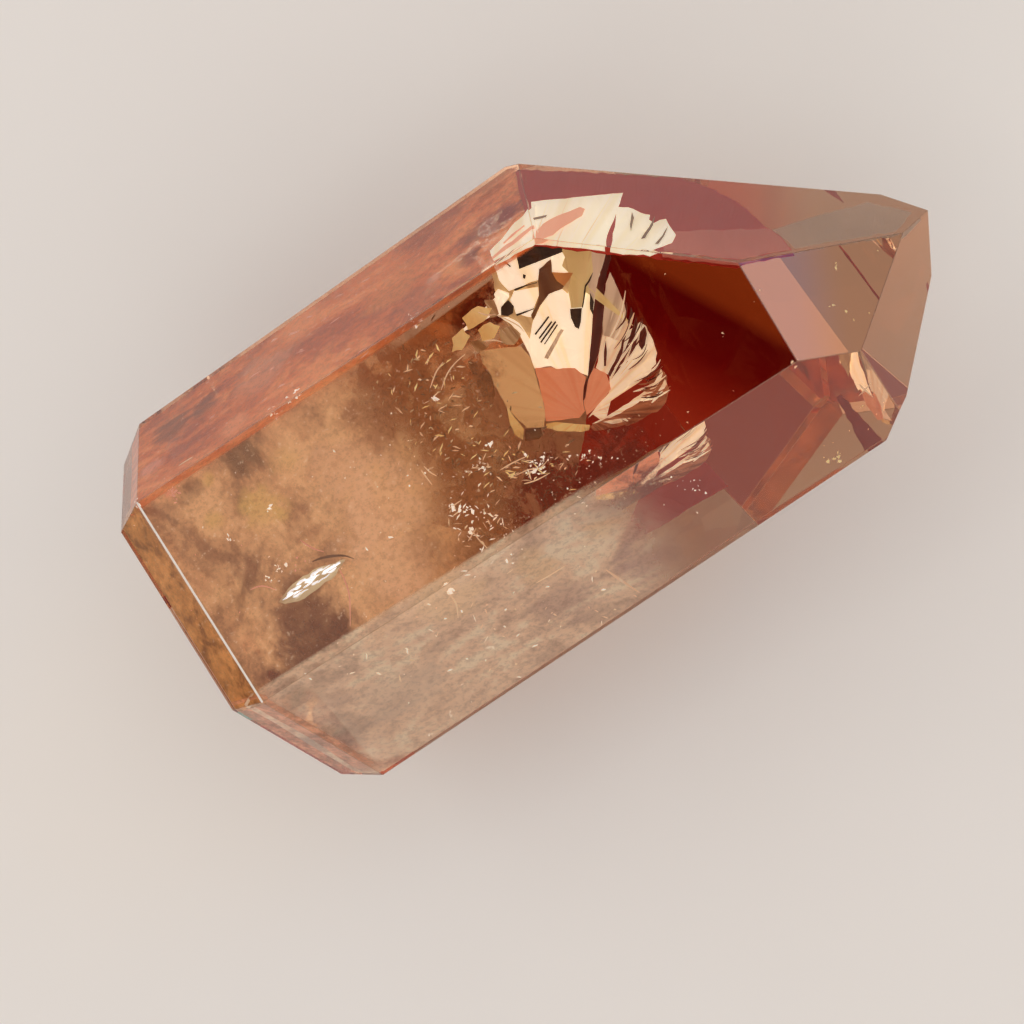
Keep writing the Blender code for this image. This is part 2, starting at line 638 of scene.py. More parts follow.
gold_film = crack_film("gold_film", (0.95, 0.74, 0.34), (0.85, 0.58, 0.22), (0.5, 0.3, 0.1), painted_glow=0.30)
shade_film = crack_film("shade_film", (0.36, 0.20, 0.09), (0.26, 0.13, 0.06), (0.5, 0.32, 0.16), metallic=0.0)
dark_film = crack_film("dark_film", (0.05, 0.026, 0.015), (0.10, 0.05, 0.02), (0.02, 0.01, 0.0), metallic=0.0)
ember_film = crack_film("ember_film", (0.92, 0.46, 0.15), (0.80, 0.40, 0.14), (0.6, 0.3, 0.1), painted_glow=0.08)
red_gap_film = crack_film(
    "red_gap_film", (0.20, 0.03, 0.015), (0.12, 0.015, 0.01), (0.3, 0.07, 0.03), metallic=0.0)

# %% The smooth left lobe and its islands
lay(
    ("lobe_bed", on_crack(-0.15), bed_film, 1.0, 3,
     (491, 268, 500, 255, 517, 247, 533, 238, 560, 237, 606, 242, 598, 272, 588, 300, 560, 322, 534, 340,
      527, 346, 513, 330, 499, 316, 497, 303, 494, 288)),
    ("left_lobe", on_crack(0.0), cream_film, 0.5, 1,
     (556, 238, 612, 242, 608, 252, 602, 266, 597, 285, 593, 312, 591, 342, 589, 376, 581, 373, 575, 369,
      557, 369, 551, 366, 535, 369, 527, 348, 531, 332, 533, 321, 540, 306, 549, 294, 562, 289, 568, 294,
      570, 283, 573, 273, 552, 272, 551, 258)),
    ("islands", on_crack(0.05), cream_film, 0.5, 5,
     (494, 266, 503, 256, 519, 248, 533, 238, 558, 238, 551, 259, 540, 269, 538, 280, 534, 281, 514, 289,
      509, 291, 505, 287, 499, 280),
     (514, 291, 538, 287, 539, 295, 534, 307, 531, 317, 516, 314, 514, 307, 510, 300),
     (494, 294, 498, 289, 501, 292, 502, 296, 509, 293, 509, 297, 501, 306, 497, 302),
     (500, 317, 508, 317, 519, 323, 529, 338, 532, 352, 528, 351, 520, 335, 511, 324)),
)

# %% Tints and gaps in the left lobe
lay(
    ("olive_streak", on_crack(0.15), olive_cream_film, 0.5, 20,
     (557, 240, 601, 243, 603, 252, 597, 269, 588, 283, 582, 307, 571, 308, 568, 289, 570, 283, 573, 273,
      568, 272, 562, 266, 565, 257)),
    ("grey_streaks", on_crack(0.2), grey_film, 0.5, 22,
     (591, 243, 607, 244, 604, 261, 598, 280, 594, 302, 590, 294, 588, 284, 593, 272),
     (561, 329, 564, 330, 557, 343, 548, 359, 544, 358, 553, 342)),
    ("shade", on_crack(0.2), shade_film, 0.5, 24,
     (539, 269, 551, 259, 552, 272, 557, 281, 564, 286, 562, 289, 549, 294, 540, 306, 533, 320, 531, 315,
      538, 302, 539, 294, 538, 281)),
    ("ember", on_crack(0.3), ember_film, 0.5, 25,
     (552, 272, 573, 273, 569, 280, 564, 286, 557, 281)),
    ("dark_gaps", on_crack(0.35), dark_film, 0.4, 26,
     (536, 240, 552, 240, 549, 249, 546, 252, 541, 249, 536, 247),
     (517, 252, 521, 248, 527, 251, 531, 248, 534, 252, 539, 254, 539, 261, 535, 263, 530, 258, 525, 253,
      522, 257, 521, 265, 519, 269, 517, 259),
     (523, 274, 526, 275, 525, 279, 523, 278),
     (501, 307, 508, 300, 514, 306, 513, 313, 508, 316, 501, 315),
     (570, 309, 582, 308, 581, 321, 579, 329, 575, 327, 571, 318),
     (593, 272, 590, 281, 586, 287, 583, 308, 582, 307, 585, 285, 588, 281),
     (590, 293, 594, 302, 593, 315, 590, 309),
     (505, 261, 511, 266, 510, 267, 504, 262),
     (514, 289, 525, 285, 537, 282, 537, 283, 526, 286, 515, 291),
     (516, 314, 525, 311, 534, 308, 534, 309, 525, 313, 517, 316)),
    ("scratches", on_crack(0.35), dark_film, 0.1, 40,
     (548, 316, 549.5, 317, 536, 335, 534.5, 334),
     (551, 321, 552.5, 322, 540, 339, 538.5, 338),
     (555, 321, 556.5, 322, 541.5, 343, 540, 342),
     (557, 324, 558, 325, 545, 344.5, 544, 344)),
)

# %% The salmon foot and its gold rim
lay(
    ("salmon_foot", on_crack(0.1), salmon_film, 0.5, 44,
     (535, 368, 551, 367, 557, 369, 575, 368, 581, 373, 586, 377, 584, 389, 583, 403, 585, 411, 579, 418,
      546, 421, 544, 403, 540, 388),
     (594, 368, 606, 373, 611, 389, 597, 406, 587, 415, 584, 403, 586, 387, 589, 377)),
    ("gold_rim", on_crack(0.3), gold_film, 0.5, 47,
     (546, 424, 555, 422, 576, 424, 590, 425, 589, 430, 581, 432, 557, 431, 547, 428)),
)

# %% The feathered right lobe
lay(
    ("band", on_crack(0.1), red_gap_film, 0.3, 49,
     (608, 246, 611, 258, 607, 272, 604, 288, 603, 314, 602, 332, 598, 355, 594, 366, 588, 380, 585, 400,
      583, 400, 584, 386, 588, 376, 591, 342, 593, 312, 597, 285, 602, 266, 606, 250)),
    ("grey_lobe", on_crack(0.0), grey_film, 0.8, 50,
     (610, 272, 614, 280, 618, 289, 622, 299, 626, 311, 627, 326, 622, 341, 603, 336, 603, 321, 604, 296,
      606, 283)),
    ("right_lobe", on_crack(0.0), feather_film, 0.8, 51,
     (603, 334, 623, 338, 629, 330, 640, 322, 646, 326, 653, 340, 657, 353, 656, 364, 649, 373, 638, 383,
      621, 390, 607, 400, 597, 410, 588, 418, 597, 406, 611, 389, 609, 375, 601, 371, 596, 368, 600, 348)),
    ("red_stripes", on_crack(0.3), red_gap_film, 0.4, 52,
     (631, 307, 633, 313, 630, 326, 625, 339, 622, 354, 615, 368, 610, 377, 608, 374, 615, 361, 621, 348,
      623, 335, 628, 321),
     (636, 315, 638, 324, 634, 339, 629, 351, 624, 361, 617, 372, 611, 380, 616, 370, 623, 357, 628, 342,
      633, 326),
     (642, 318, 643, 323, 639, 335, 635, 348, 629, 359, 625, 366, 629, 355, 634, 340),
     (640, 332, 645, 326, 647, 334, 645, 345, 642, 350, 639, 345),
     (606, 340, 607, 352, 606, 366, 604, 366, 604, 352)),
    ("rim", on_crack(0.2), rim_film, 1.5, 58,
     (661, 369, 667, 377, 669, 389, 666, 402, 657, 412, 638, 421, 617, 427, 594, 431, 590, 427, 601, 420,
      617, 411, 634, 402, 646, 389, 654, 377)),
    ("rim_streaks", on_crack(0.45), feather_film, 0.7, 60,
     (661, 369, 663, 373, 658, 385, 649, 398, 643, 402, 648, 394, 656, 380),
     (665, 379, 667, 384, 661, 395, 650, 405, 656, 395, 662, 385),
     (645, 391, 647, 395, 638, 403, 621, 413, 601, 421, 592, 424, 612, 413, 629, 403),
     (632, 417, 627, 422, 612, 424, 603, 422, 617, 419)),
)

# %% Feathers along the rim
FAN_RIM = pixels(612, 275, 618, 284, 626, 294, 634, 309, 643, 320, 651, 333, 657, 351, 665, 372, 669, 386,
                 664, 402, 648, 415, 629, 426)


def point_along(points, share):
    """The point at a share of the way along a chain of pixels."""
    place = share * (len(points) - 1)
    index = min(int(place), len(points) - 2)
    return Vector(points[index]).lerp(Vector(points[index + 1]), place - index)


BLADE_LIFT_MM = 0.03
BLADE_THICK_MM = 0.02


def ribbon(bm, path, width_px, place):
    """A narrow blade along a chain of pixels, widest past its middle and pointed at both ends."""
    left, right = [], []
    for step, point in enumerate(path):
        share = step / (len(path) - 1)
        before, after = path[max(step - 1, 0)], path[min(step + 1, len(path) - 1)]
        aside = Vector((before[1] - after[1], after[0] - before[0])).normalized()
        half = aside * width_px * 0.5 * (0.1 + 0.9 * sin(pi * share ** 0.8))
        left.append(bm.verts.new(place(point + half, BLADE_LIFT_MM)))
        right.append(bm.verts.new(place(point - half, -BLADE_LIFT_MM)))
    for step in range(len(path) - 1):
        bm.faces.new((left[step], left[step + 1], right[step + 1], right[step]))


def ribbons(name, paths, widths, place, material):
    """Many blades in one mesh."""
    bm = bmesh.new()
    for path, width in zip(paths, widths):
        if all(inside_stone(place(pixel), 0.15) for pixel in path):
            ribbon(bm, path, width, place)
    bmesh.ops.recalc_face_normals(bm, faces=bm.faces[:])
    bmesh.ops.solidify(bm, geom=bm.faces[:], thickness=BLADE_THICK_MM * MM)
    return new_piece(name, mesh_of(bm, name), material)


def bowed(start, end, bow_px, steps=7):
    """A bowed chain of pixels from start to end."""
    run = end - start
    aside = Vector((-run.y, run.x)).normalized()
    return [start + run * (k / steps) + aside * (bow_px * sin(pi * k / steps)) for k in range(steps + 1)]


def feathers(name, count, material, width, shares, starts, reaches, seed, above_mm):
    """A bunch of feathers between two shares of the rim."""
    rng = random.Random(seed)
    paths = []
    for number in range(count):
        share = shares[0] + (shares[1] - shares[0]) * (number + rng.random()) / count
        run = point_along(FAN_RIM, share) - Vector(CRACK_ROOT)
        start = Vector(CRACK_ROOT) + run * rng.uniform(*starts)
        end = Vector(CRACK_ROOT) + run * rng.uniform(*reaches)
        paths.append(bowed(start, end, rng.uniform(1, 5)))
    return ribbons(name, paths, [rng.uniform(*width) for path in paths], on_crack(above_mm), material)


feathers("cream_feathers", 15, feather_film, (1.5, 4.0), (0.15, 0.8), (0.5, 0.75), (0.86, 1.03), 11, 0.4)
feathers("rim_feathers", 16, rim_film, (1.0, 2.6), (0.6, 1.0), (0.6, 0.8), (0.9, 1.05), 12, 0.5)
feathers("red_feathers", 12, red_gap_film, (0.6, 1.6), (0.2, 0.8), (0.55, 0.8), (0.9, 1.0), 14, 0.5)

# %% [markdown]
# Beside the fan a second, smaller break lies higher up and faces the camera flat on. It mirrors
# nothing bright, so it shows as a dull olive lens with a golden sliver and a dark chip at its foot.

# %% The olive flake and its foot
lay(
    ("olive_flake", on_crack(1.6), olive_film, 0.5, 70,
     (480, 351, 502, 348, 521, 346, 531, 358, 535, 373, 541, 394, 545, 412, 544, 427, 527, 428, 515, 416,
      506, 406, 494, 384, 490, 373, 482, 363)),
    ("scales", on_crack(1.5), gold_film, 1.5, 78,
     (478, 330, 490, 322, 500, 326, 494, 338, 482, 341),
     (462, 318, 478, 306, 492, 308, 484, 321, 468, 330),
     (452, 338, 463, 328, 470, 336, 462, 350, 452, 352)),
    ("brown_scales", on_crack(1.4), bed_film, 1.5, 79,
     (499, 330, 511, 326, 521, 334, 514, 345, 501, 343),
     (470, 342, 483, 338, 489, 347, 478, 354),
     (484, 300, 494, 300, 499, 314, 490, 318)),
    ("brown_wing", on_crack(1.7), shade_film, 1.0, 71,
     (468, 361, 480, 362, 491, 375, 495, 396, 488, 404, 482, 396, 475, 380)),
    ("gold_sliver", on_crack(1.8), gold_film, 0.5, 72,
     (507, 407, 515, 418, 524, 429, 523, 440, 515, 435, 510, 424)),
    ("dark_chip", on_crack(1.8), shade_film, 0.5, 73,
     (525, 429, 541, 428, 543, 435, 539, 439, 525, 441)),
)

# %% [markdown]
# The crack runs on upwards and comes close under the long tip face. Seen through that face it shows
# again, larger and smoother, with a salmon streak and a dark gap. A little of it also shows through
# the narrow side.

# %% The crack under the long tip face
lay(
    ("upper_left_lobe", under(LONG_TIP, 0.5), upper_film, 0.4, 74,
     (531, 202, 560, 199, 590, 196, 623, 193, 620, 203, 613, 222, 607, 236, 606, 246, 570, 242, 536, 239,
      534, 226, 532, 212)),
    ("upper_right_lobe", under(LONG_TIP, 0.5), upper_film, 1.0, 75,
     (618, 207, 633, 209, 641, 213, 650, 215, 648, 224, 642, 238, 653, 235, 660, 220, 666, 219, 671, 228,
      676, 235, 672, 243, 651, 251, 631, 249, 611, 247, 615, 227)),
    ("salmon_streak", under(LONG_TIP, 0.4), salmon_film, 0.6, 76,
     (536, 231, 543, 224, 553, 218, 568, 212, 580, 207, 585, 209, 582, 216, 572, 222, 560, 229, 553, 235,
      543, 239, 536, 240)),
    ("upper_slits", under(LONG_TIP, 0.4), shade_film, 0.3, 77,
     (533, 218, 547, 215, 546, 217, 534, 220),
     (641, 239, 652, 222, 655, 216, 653, 225, 645, 238),
     (655, 244, 662, 236, 668, 226, 664, 236, 658, 244),
     (632, 212, 634, 218, 631, 231, 630, 225)),
    ("side_lobe", under(NARROW_SIDE, 0.5), upper_film, 0.8, 82,
     (532, 203, 532, 222, 535, 231, 534, 239, 523, 244, 502, 257, 494, 261, 490, 251, 502, 239, 511, 227,
      523, 216)),
    ("side_stripes", under(NARROW_SIDE, 0.4), salmon_film, 0.4, 84,
     (492, 257, 502, 248, 516, 238, 531, 226, 532, 229, 518, 241, 504, 251, 493, 259),
     (503, 243, 512, 234, 524, 225, 525, 226, 513, 236, 504, 244)),
)

# %% [markdown]
# ## Haze, veils and sparkles
# A cloudy crystal is full of bubbles and flakes too fine for any mesh. They lie in veils: old cracks
# that have healed and kept a film of tiny bubbles. So each mist is a wavy sheet, cut off at the inside
# of the stone and at the edges of the face that it is seen through. Every point of the sheet is
# painted with a colour and a cover. Both are worked out from its place, by cloudy noise and a few soft
# patches, and the cover fades out towards the rim.

# %% Cut a sheet off at the inside of the stone
def trim(sheet, margin_mm=0.25):
    """Cut a sheet off where it would come out of the stone."""
    for centre, normal in stone_faces:
        bmesh.ops.bisect_plane(
            sheet,
            geom=sheet.verts[:] + sheet.edges[:] + sheet.faces[:],
            plane_co=centre - normal * margin_mm * MM,
            plane_no=normal,
            clear_outer=True,
        )


# %% A grid that lies in the stone like a film
def rise(value, low, high):
    """0 below low, 1 above high, and a smooth rise from one to the other."""
    share = min(max((value - low) / (high - low), 0.0), 1.0)
    return share * share * (3 - 2 * share)


def cut_at_edge(sheet, middle, face, edge):
    """Keep the part of a sheet that is seen through a face, on this side of the face's edge."""
    start, end = (seen_under(face, pixel, 0.0) for pixel in edge)
    aside = (end - start).cross(bent(ray_through(edge[0]), face[1])).normalized()
    if (middle - start).dot(aside) > 0:
        aside = -aside
    everything = sheet.verts[:] + sheet.edges[:] + sheet.faces[:]
    bmesh.ops.bisect_plane(sheet, geom=everything, plane_co=start, plane_no=aside, clear_outer=True)
    return start, aside


def paint(mesh, shade):
    """Give every point of a mesh the colour and cover that shade works out from its place."""
    tint = mesh.color_attributes.new("tint", "FLOAT_COLOR", "POINT")
    for vertex, value in zip(mesh.vertices, tint.data):
        value.color = shade(vertex.co)


VEIL_CELLS = 150
VEIL_WAVES_PER_METRE = 180.0


def veil(name, middle, reach_mm, face, edges, material, shade, seed, facing=None, bend_mm=0.3, rim_mm=0.1):
    """One wavy sheet through a point, seen through a face and cut off at the face's edges."""
    facing = Vector(facing or face[1]).normalized()
    across = facing.orthogonal().normalized()
    along_it = facing.cross(across)
    sheet = bmesh.new()
    bmesh.ops.create_grid(sheet, x_segments=VEIL_CELLS, y_segments=VEIL_CELLS, size=reach_mm * MM)
    for vertex in sheet.verts:
        flat = across * vertex.co.x + along_it * vertex.co.y
        wave = noise.noise(flat * VEIL_WAVES_PER_METRE + Vector((seed, 0, seed))) * bend_mm * MM
        vertex.co = middle + flat + facing * wave
    trim(sheet)
    cuts = [cut_at_edge(sheet, middle, face, edge) for edge in edges]
    mesh = mesh_of(sheet, name)

    def shade_to_rim(point):
        *colour, cover = shade(point)
        for start, aside in cuts:
            cover *= rise((start - point).dot(aside), 0.0, rim_mm * MM)
        return (*colour, cover)

    paint(mesh, shade_to_rim)
    return new_piece(name, mesh, material)


# %% Mist with lighter and darker places
PIXELS_PER_MM = 18.7
NOISE_SEED = 5
SWIRL = 0.9
PATCH_FADE = (0.55, 1.45)
RIM_FADE = 0.7
noise.seed_set(NOISE_SEED)


def blend(share, first, second):
    """Two colours or two lists of numbers, mixed."""
    return [a + (b - a) * share for a, b in zip(first, second)]


def wisps(point, per_metre, stretch=1.0):
    """Cloudy noise whose swirls are drawn out, from about -0.7 to 0.7."""
    spot = Vector((point.x * stretch, point.y, point.z)) * per_metre
    return noise.fractal(spot + noise.noise_vector(spot * 0.7) * SWIRL, 0.5, 2.0, 6)


def mist(place, middle_px, reach_mm, tints, patches, thickness, per_metre=420.0, stretch=1.0):
    """How a mist is painted: a mottled ground in three tints, with soft patches, fading out at its rim."""
    centre = place(middle_px)
    pale, middling, dark = tints
    core, rim = PATCH_FADE
    spots = [(place(pixel), radius_px / PIXELS_PER_MM * MM, *how) for pixel, radius_px, *how in patches]

    def shade(point):
        drift = wisps(point, per_metre, stretch)
        colour = blend(rise(drift, -0.75, 0.0), dark, middling)
        colour = blend(rise(drift, 0.0, 0.65), colour, pale)
        for spot, radius, tint, strength in spots:
            distance = (point - spot).length + drift * 0.55 * radius
            if distance < radius * rim:
                share = 1 - rise(distance, radius * core, radius * rim)
                colour = blend(share * strength * (0.95 - 0.3 * rise(drift, -0.4, 0.6)), colour, tint)
        away = (point - centre).length + drift * 0.4 * MM
        cover = thickness * (1 - rise(away, reach_mm * RIM_FADE * MM, reach_mm * MM))
        return (*colour, cover)

    return shade


def grainy_film(name, painted_glow, sparkle, grit, grain=2600.0):
    """A painted film broken up by fine grains, some bright as painted sparkle, and with a painted glow."""
    finish = Finish(name)
    tint = finish.node("VertexColor", {"layer_name": "tint"}, {}, "Color")
    cover = finish.node("VertexColor", {"layer_name": "tint"}, {}, "Alpha")
    grains = finish.noise(grain, 3.0, 0.75)
    colour = finish.mix(grit - grains.between(0.30, 0.50) * grit, tint, (0.10, 0.04, 0.02))
    colour = finish.mix(grains.between(0.60, 0.72) * sparkle, colour, (1.0, 0.80, 0.56))
    finish.surface(base_color=colour, roughness=0.8, alpha=cover * (0.8 + grains.between(0.38, 0.56) * 0.2))
    return finish.surface(emission_color=colour, emission_strength=painted_glow).material


MILKY = ((0.72, 0.40, 0.185), (0.56, 0.29, 0.13), (0.32, 0.15, 0.065))
GOLDEN = (0.76, 0.43, 0.225)
YELLOW = (0.66, 0.40, 0.13)
DARK = (0.17, 0.085, 0.035)
PURPLE = (0.16, 0.055, 0.02)
BROWN = (0.34, 0.14, 0.055)
ROSY = (0.85, 0.33, 0.20)

# %% [markdown]
# The mist fills the base half of the stone. Looked at through the front face it has a smooth light
# middle, yellow and dark places towards the base, and a brown cloud on the side of the crack.

# %% The milky half, in two films
MILKY_PATCHES = (
    ((385, 500), 44, GOLDEN, 0.9), ((390, 560), 40, GOLDEN, 0.9), ((345, 470), 36, GOLDEN, 0.7),
    ((240, 450), 20, DARK, 0.9), ((192, 490), 17, DARK, 0.85), ((155, 520), 16, PURPLE, 0.6),
    ((248, 572), 16, PURPLE, 0.8), ((318, 628), 38, PURPLE, 1.0), ((296, 668), 25, PURPLE, 1.0),
    ((300, 525), 18, BROWN, 0.6), ((265, 512), 22, YELLOW, 0.9), ((212, 520), 13, YELLOW, 1.0),
    ((208, 480), 8, YELLOW, 1.0), ((290, 460), 16, YELLOW, 0.7), ((170, 490), 9, ROSY, 0.9),
    ((385, 405), 40, BROWN, 0.75), ((440, 430), 34, BROWN, 0.85), ((425, 545), 22, BROWN, 0.5),
)
DEEP_PATCHES = (
    ((322, 636), 30, PURPLE, 0.9), ((200, 500), 26, BROWN, 0.9), ((410, 420), 50, BROWN, 0.9),
    ((240, 600), 30, YELLOW, 0.9),
)
MISTS = (
    ((280, 535), 19.9, 10.8, MILKY_PATCHES, 0.86, 0.42),
    ((330, 500), 17.0, 11.5, DEEP_PATCHES, 0.82, 0.34),
)
for number, (pixel, height, reach, patches, thickness, painted_glow) in enumerate(MISTS):
    place = under(FRONT, FRONT_HEIGHT / MM - height)
    film = grainy_film(f"milky_film_{number + 1}", painted_glow, 0.35, 0.14)
    veil(f"milky_veil_{number + 1}", place(pixel), reach, FRONT, (NARROW_EDGE, WIDE_EDGE), film,
         mist(place, pixel, reach, MILKY, patches, thickness), number, (0.04 * number, -0.03, 1.0))

# %% Grainy clouds of brown dust
def dust(place, places, dark, pale, per_metre=700.0):
    """How dust is painted: in soft clouds, mostly dark, with a few pale places."""
    spots = [(place(pixel), radius_px / PIXELS_PER_MM * MM) for pixel, radius_px in places]

    def shade(point):
        drift = wisps(point, per_metre)
        colour = blend(rise(drift, 0.1, 0.8), dark, pale)
        away = [(point - spot).length + drift * 0.3 * radius for spot, radius in spots]
        shares = [1 - rise(far, radius * 0.4, radius) for far, (spot, radius) in zip(away, spots)]
        return (*colour, max(shares) * (0.95 - 0.5 * rise(drift, 0.0, 0.7)))

    return shade


DUST_BROWN = (0.42, 0.155, 0.052)
DUST_GOLD = (0.80, 0.44, 0.19)
DUST_RED = (0.22, 0.03, 0.013)
DUST_ROSY = (0.50, 0.16, 0.09)
DUSTS = (
    ("brown_dust", 18.4, DUST_BROWN, DUST_GOLD,
     (((430, 400), 80), ((470, 455), 60), ((380, 390), 60), ((460, 520), 60))),
    ("red_dust", 15.6, DUST_RED, DUST_ROSY, (((560, 494), 68), ((612, 466), 54), ((510, 506), 60))),
)
for number, (name, height, dark, pale, places) in enumerate(DUSTS):
    place = under(FRONT, FRONT_HEIGHT / MM - height)
    film = grainy_film(name + "_film", 0.12, 0.7, 0.5)
    veil(name, place(places[0][0]), 6.5, FRONT, (NARROW_EDGE, WIDE_EDGE), film,
         dust(place, places, dark, pale), 20 + number, (0.03, 0.05 * number, 1.0))

# %% [markdown]
# Films also lie close under the side faces. Those under the narrow side are rust red. Under the long
# tip face a deep red film is painted shade and ends in a curved front, over a pink and a greyish foot,
# and a dark red film deep under the front face, beside the crack, is painted shade too. Under the
# wide side they are pale.

# %% Stained films and painted shade under the other faces
def stain_and_shade(name, first, second, thickness, mottle=220.0, painted_glow=0.1):
    """A streaky coloured film, a little see-through, with a painted glow; it paints stains and shade."""
    finish = Finish(name)
    cloud = finish.noise(mottle, 3.0, 0.6).between(0.36, 0.64)
    colour = finish.mix(cloud, first, second)
    finish.surface(base_color=colour, roughness=0.7, alpha=(0.9 + cloud * 0.1) * thickness)
    return finish.surface(emission_color=colour, emission_strength=painted_glow).material


RED_FRONT = (520, 170, 560, 171, 620, 174, 680, 178, 715, 190, 742, 206, 761, 223, 781, 237, 792, 250,
             738, 260, 640, 249, 536, 238)
PINK_FOOT = (660, 232, 700, 230, 770, 229, 781, 238, 790, 250, 738, 259, 700, 255, 664, 251)
GREY_FOOT = (772, 230, 830, 213, 868, 202, 912, 213, 896, 231, 795, 249, 783, 238)
RED_CORNER = (686, 432, 665, 404, 645, 378, 620, 346, 598, 350, 590, 400, 584, 440, 572, 490, 600, 482,
              640, 458)
STAINS_AND_SHADE = (
    # red_corner and red_front are painted shade: dark red films where the faces show shaded reflections
    ("red_corner", RED_CORNER, under(FRONT, 13.0), (0.46, 0.035, 0.012), (0.40, 0.03, 0.01), 0.96),
    ("red_front", RED_FRONT, under(LONG_TIP, 0.75), (0.50, 0.016, 0.0), (0.45, 0.012, 0.0), 0.95),
    ("pink_foot", PINK_FOOT, under(LONG_TIP, 0.6), (0.84, 0.24, 0.15), (0.72, 0.18, 0.11), 0.5),
    ("grey_foot", GREY_FOOT, under(LONG_TIP, 0.6), (0.58, 0.38, 0.25), (0.48, 0.31, 0.20), 0.5),
)
for number, (name, outline, place, first, second, thickness) in enumerate(STAINS_AND_SHADE):
    lay((name, place, stain_and_shade(name + "_film", first, second, thickness), 1.0, 90 + number, outline))

RUSTY = ((0.92, 0.30, 0.09), (0.72, 0.165, 0.035), (0.46, 0.08, 0.02))
PALE = ((1.0, 0.82, 0.57), (0.92, 0.64, 0.42), (0.62, 0.41, 0.27))
RUSTY_PATCHES = (
    ((170, 430), 22, (0.26, 0.07, 0.03), 1.0), ((205, 405), 16, (0.26, 0.07, 0.03), 1.0),
    ((235, 425), 16, (0.95, 0.34, 0.14), 0.9), ((150, 470), 14, ROSY, 1.0),
    ((330, 340), 30, (0.55, 0.11, 0.03), 0.7),
    ((395, 285), 30, (0.80, 0.26, 0.07), 0.8), ((300, 325), 24, (0.95, 0.34, 0.12), 0.7),
    ((430, 225), 40, (0.36, 0.04, 0.0), 1.0), ((490, 180), 30, (0.46, 0.09, 0.0), 1.0),
    ((466, 260), 17, (0.30, 0.03, 0.0), 1.0), ((434, 279), 8, (0.88, 0.44, 0.28), 0.8),
    ((492, 222), 24, (0.30, 0.025, 0.01), 1.0), ((470, 236), 16, (0.30, 0.04, 0.01), 1.0),
    ((420, 300), 20, (0.55, 0.14, 0.05), 0.9), ((260, 375), 30, (0.80, 0.36, 0.20), 0.6),
)
PALE_PATCHES = (
    ((330, 740), 36, (0.40, 0.28, 0.19), 0.8), ((300, 700), 22, (0.56, 0.38, 0.24), 0.8),
    ((450, 600), 30, (0.98, 0.70, 0.42), 0.8), ((540, 565), 24, (0.90, 0.62, 0.34), 0.9),
    ((600, 530), 20, (0.90, 0.62, 0.34), 0.8), ((570, 600), 30, (0.55, 0.36, 0.26), 0.8),
    ((650, 560), 34, (0.50, 0.32, 0.26), 0.8), ((400, 690), 40, (0.80, 0.60, 0.42), 0.7),
)
OLIVE_BROWN = ((0.80, 0.36, 0.11), (0.58, 0.25, 0.07), (0.28, 0.11, 0.03))
RED_BROWN = ((0.86, 0.38, 0.19), (0.62, 0.24, 0.11), (0.40, 0.15, 0.06))
SIDE_FILMS = (
    ("rusty", NARROW_SIDE, 0.8, (300, 345), 21.0, (NARROW_EDGE, LONG_TIP_EDGE),
     RUSTY, RUSTY_PATCHES, 0.92, 420.0, 0.4),
    ("pale", WIDE_SIDE, 0.9, (425, 655), 16.5, (WIDE_EDGE,), PALE, PALE_PATCHES, 0.76, 420.0, 0.6),
    ("front_bevel", FRONT_BEVEL, 0.5, (190, 610), 10.0, (((137, 504), (261, 696)),),
     OLIVE_BROWN, (), 0.93, 900.0, 1.0),
    ("wide_bevel", WIDE_BEVEL, 0.5, (290, 730), 8.0, (((262, 697), (384, 770)),),
     RED_BROWN, (), 0.93, 900.0, 1.0),
)

# No sheet is wider than this, also where its paint would reach farther
WIDEST_REACH_MM = 16.0
for name, face, depth, pixel, reach, edges, *paints in SIDE_FILMS:
    place = under(face, depth)
    film = grainy_film(name + "_film", 0.2, 0.3, 0.08)
    veil(name + "_veil", place(pixel), min(reach, WIDEST_REACH_MM), face, edges, film,
         mist(place, pixel, reach, *paints), 31, bend_mm=0.12, rim_mm=0.3)

# %% [markdown]
# ## Crumbs, blades and threads
# The eye picks out the bright things first: a silver slit like a small fish, crumbs along the edges,
# threads that cross the mist, and short splinters that cross each other in the dark. Each is a small
# flat flake or a narrow blade, at its own pixel, and the bright ones shine with a painted glow.

# %% Crumbs
def crumb(middle, radius_px, rng):
    """A small crooked outline round a pixel, now round and now drawn out."""
    corners = rng.randint(3, 6)
    lean = rng.uniform(0, pi)
    drawn = rng.uniform(0.25, 0.9)
    points = []
    for corner in range(corners):
        turn = 2 * pi * (corner + rng.uniform(-0.35, 0.35)) / corners
        reach = radius_px * rng.uniform(0.4, 1.4)
        along_it, aside = cos(turn) * reach, sin(turn) * reach * drawn
        points.append((middle[0] + along_it * cos(lean) - aside * sin(lean),
                       middle[1] + along_it * sin(lean) + aside * cos(lean)))
    return points


def crumbs(name, clusters, place, material, seed):
    """Clusters of crumbs: middle x and y, half width and height, how many, and their size."""
    rng = random.Random(seed)
    outlines = []
    for x, y, half_width, half_height, count, size in clusters:
        for number in range(count):
            pixel = (rng.gauss(x, half_width), rng.gauss(y, half_height))
            radius_px = rng.uniform(0.35, 1.3) * size
            if inside_stone(place(pixel), 0.4):
                outlines.append(crumb(pixel, radius_px, rng))
    return thin_sheets(name, outlines, place, material, 0.0, seed, 0.02, 0.5)


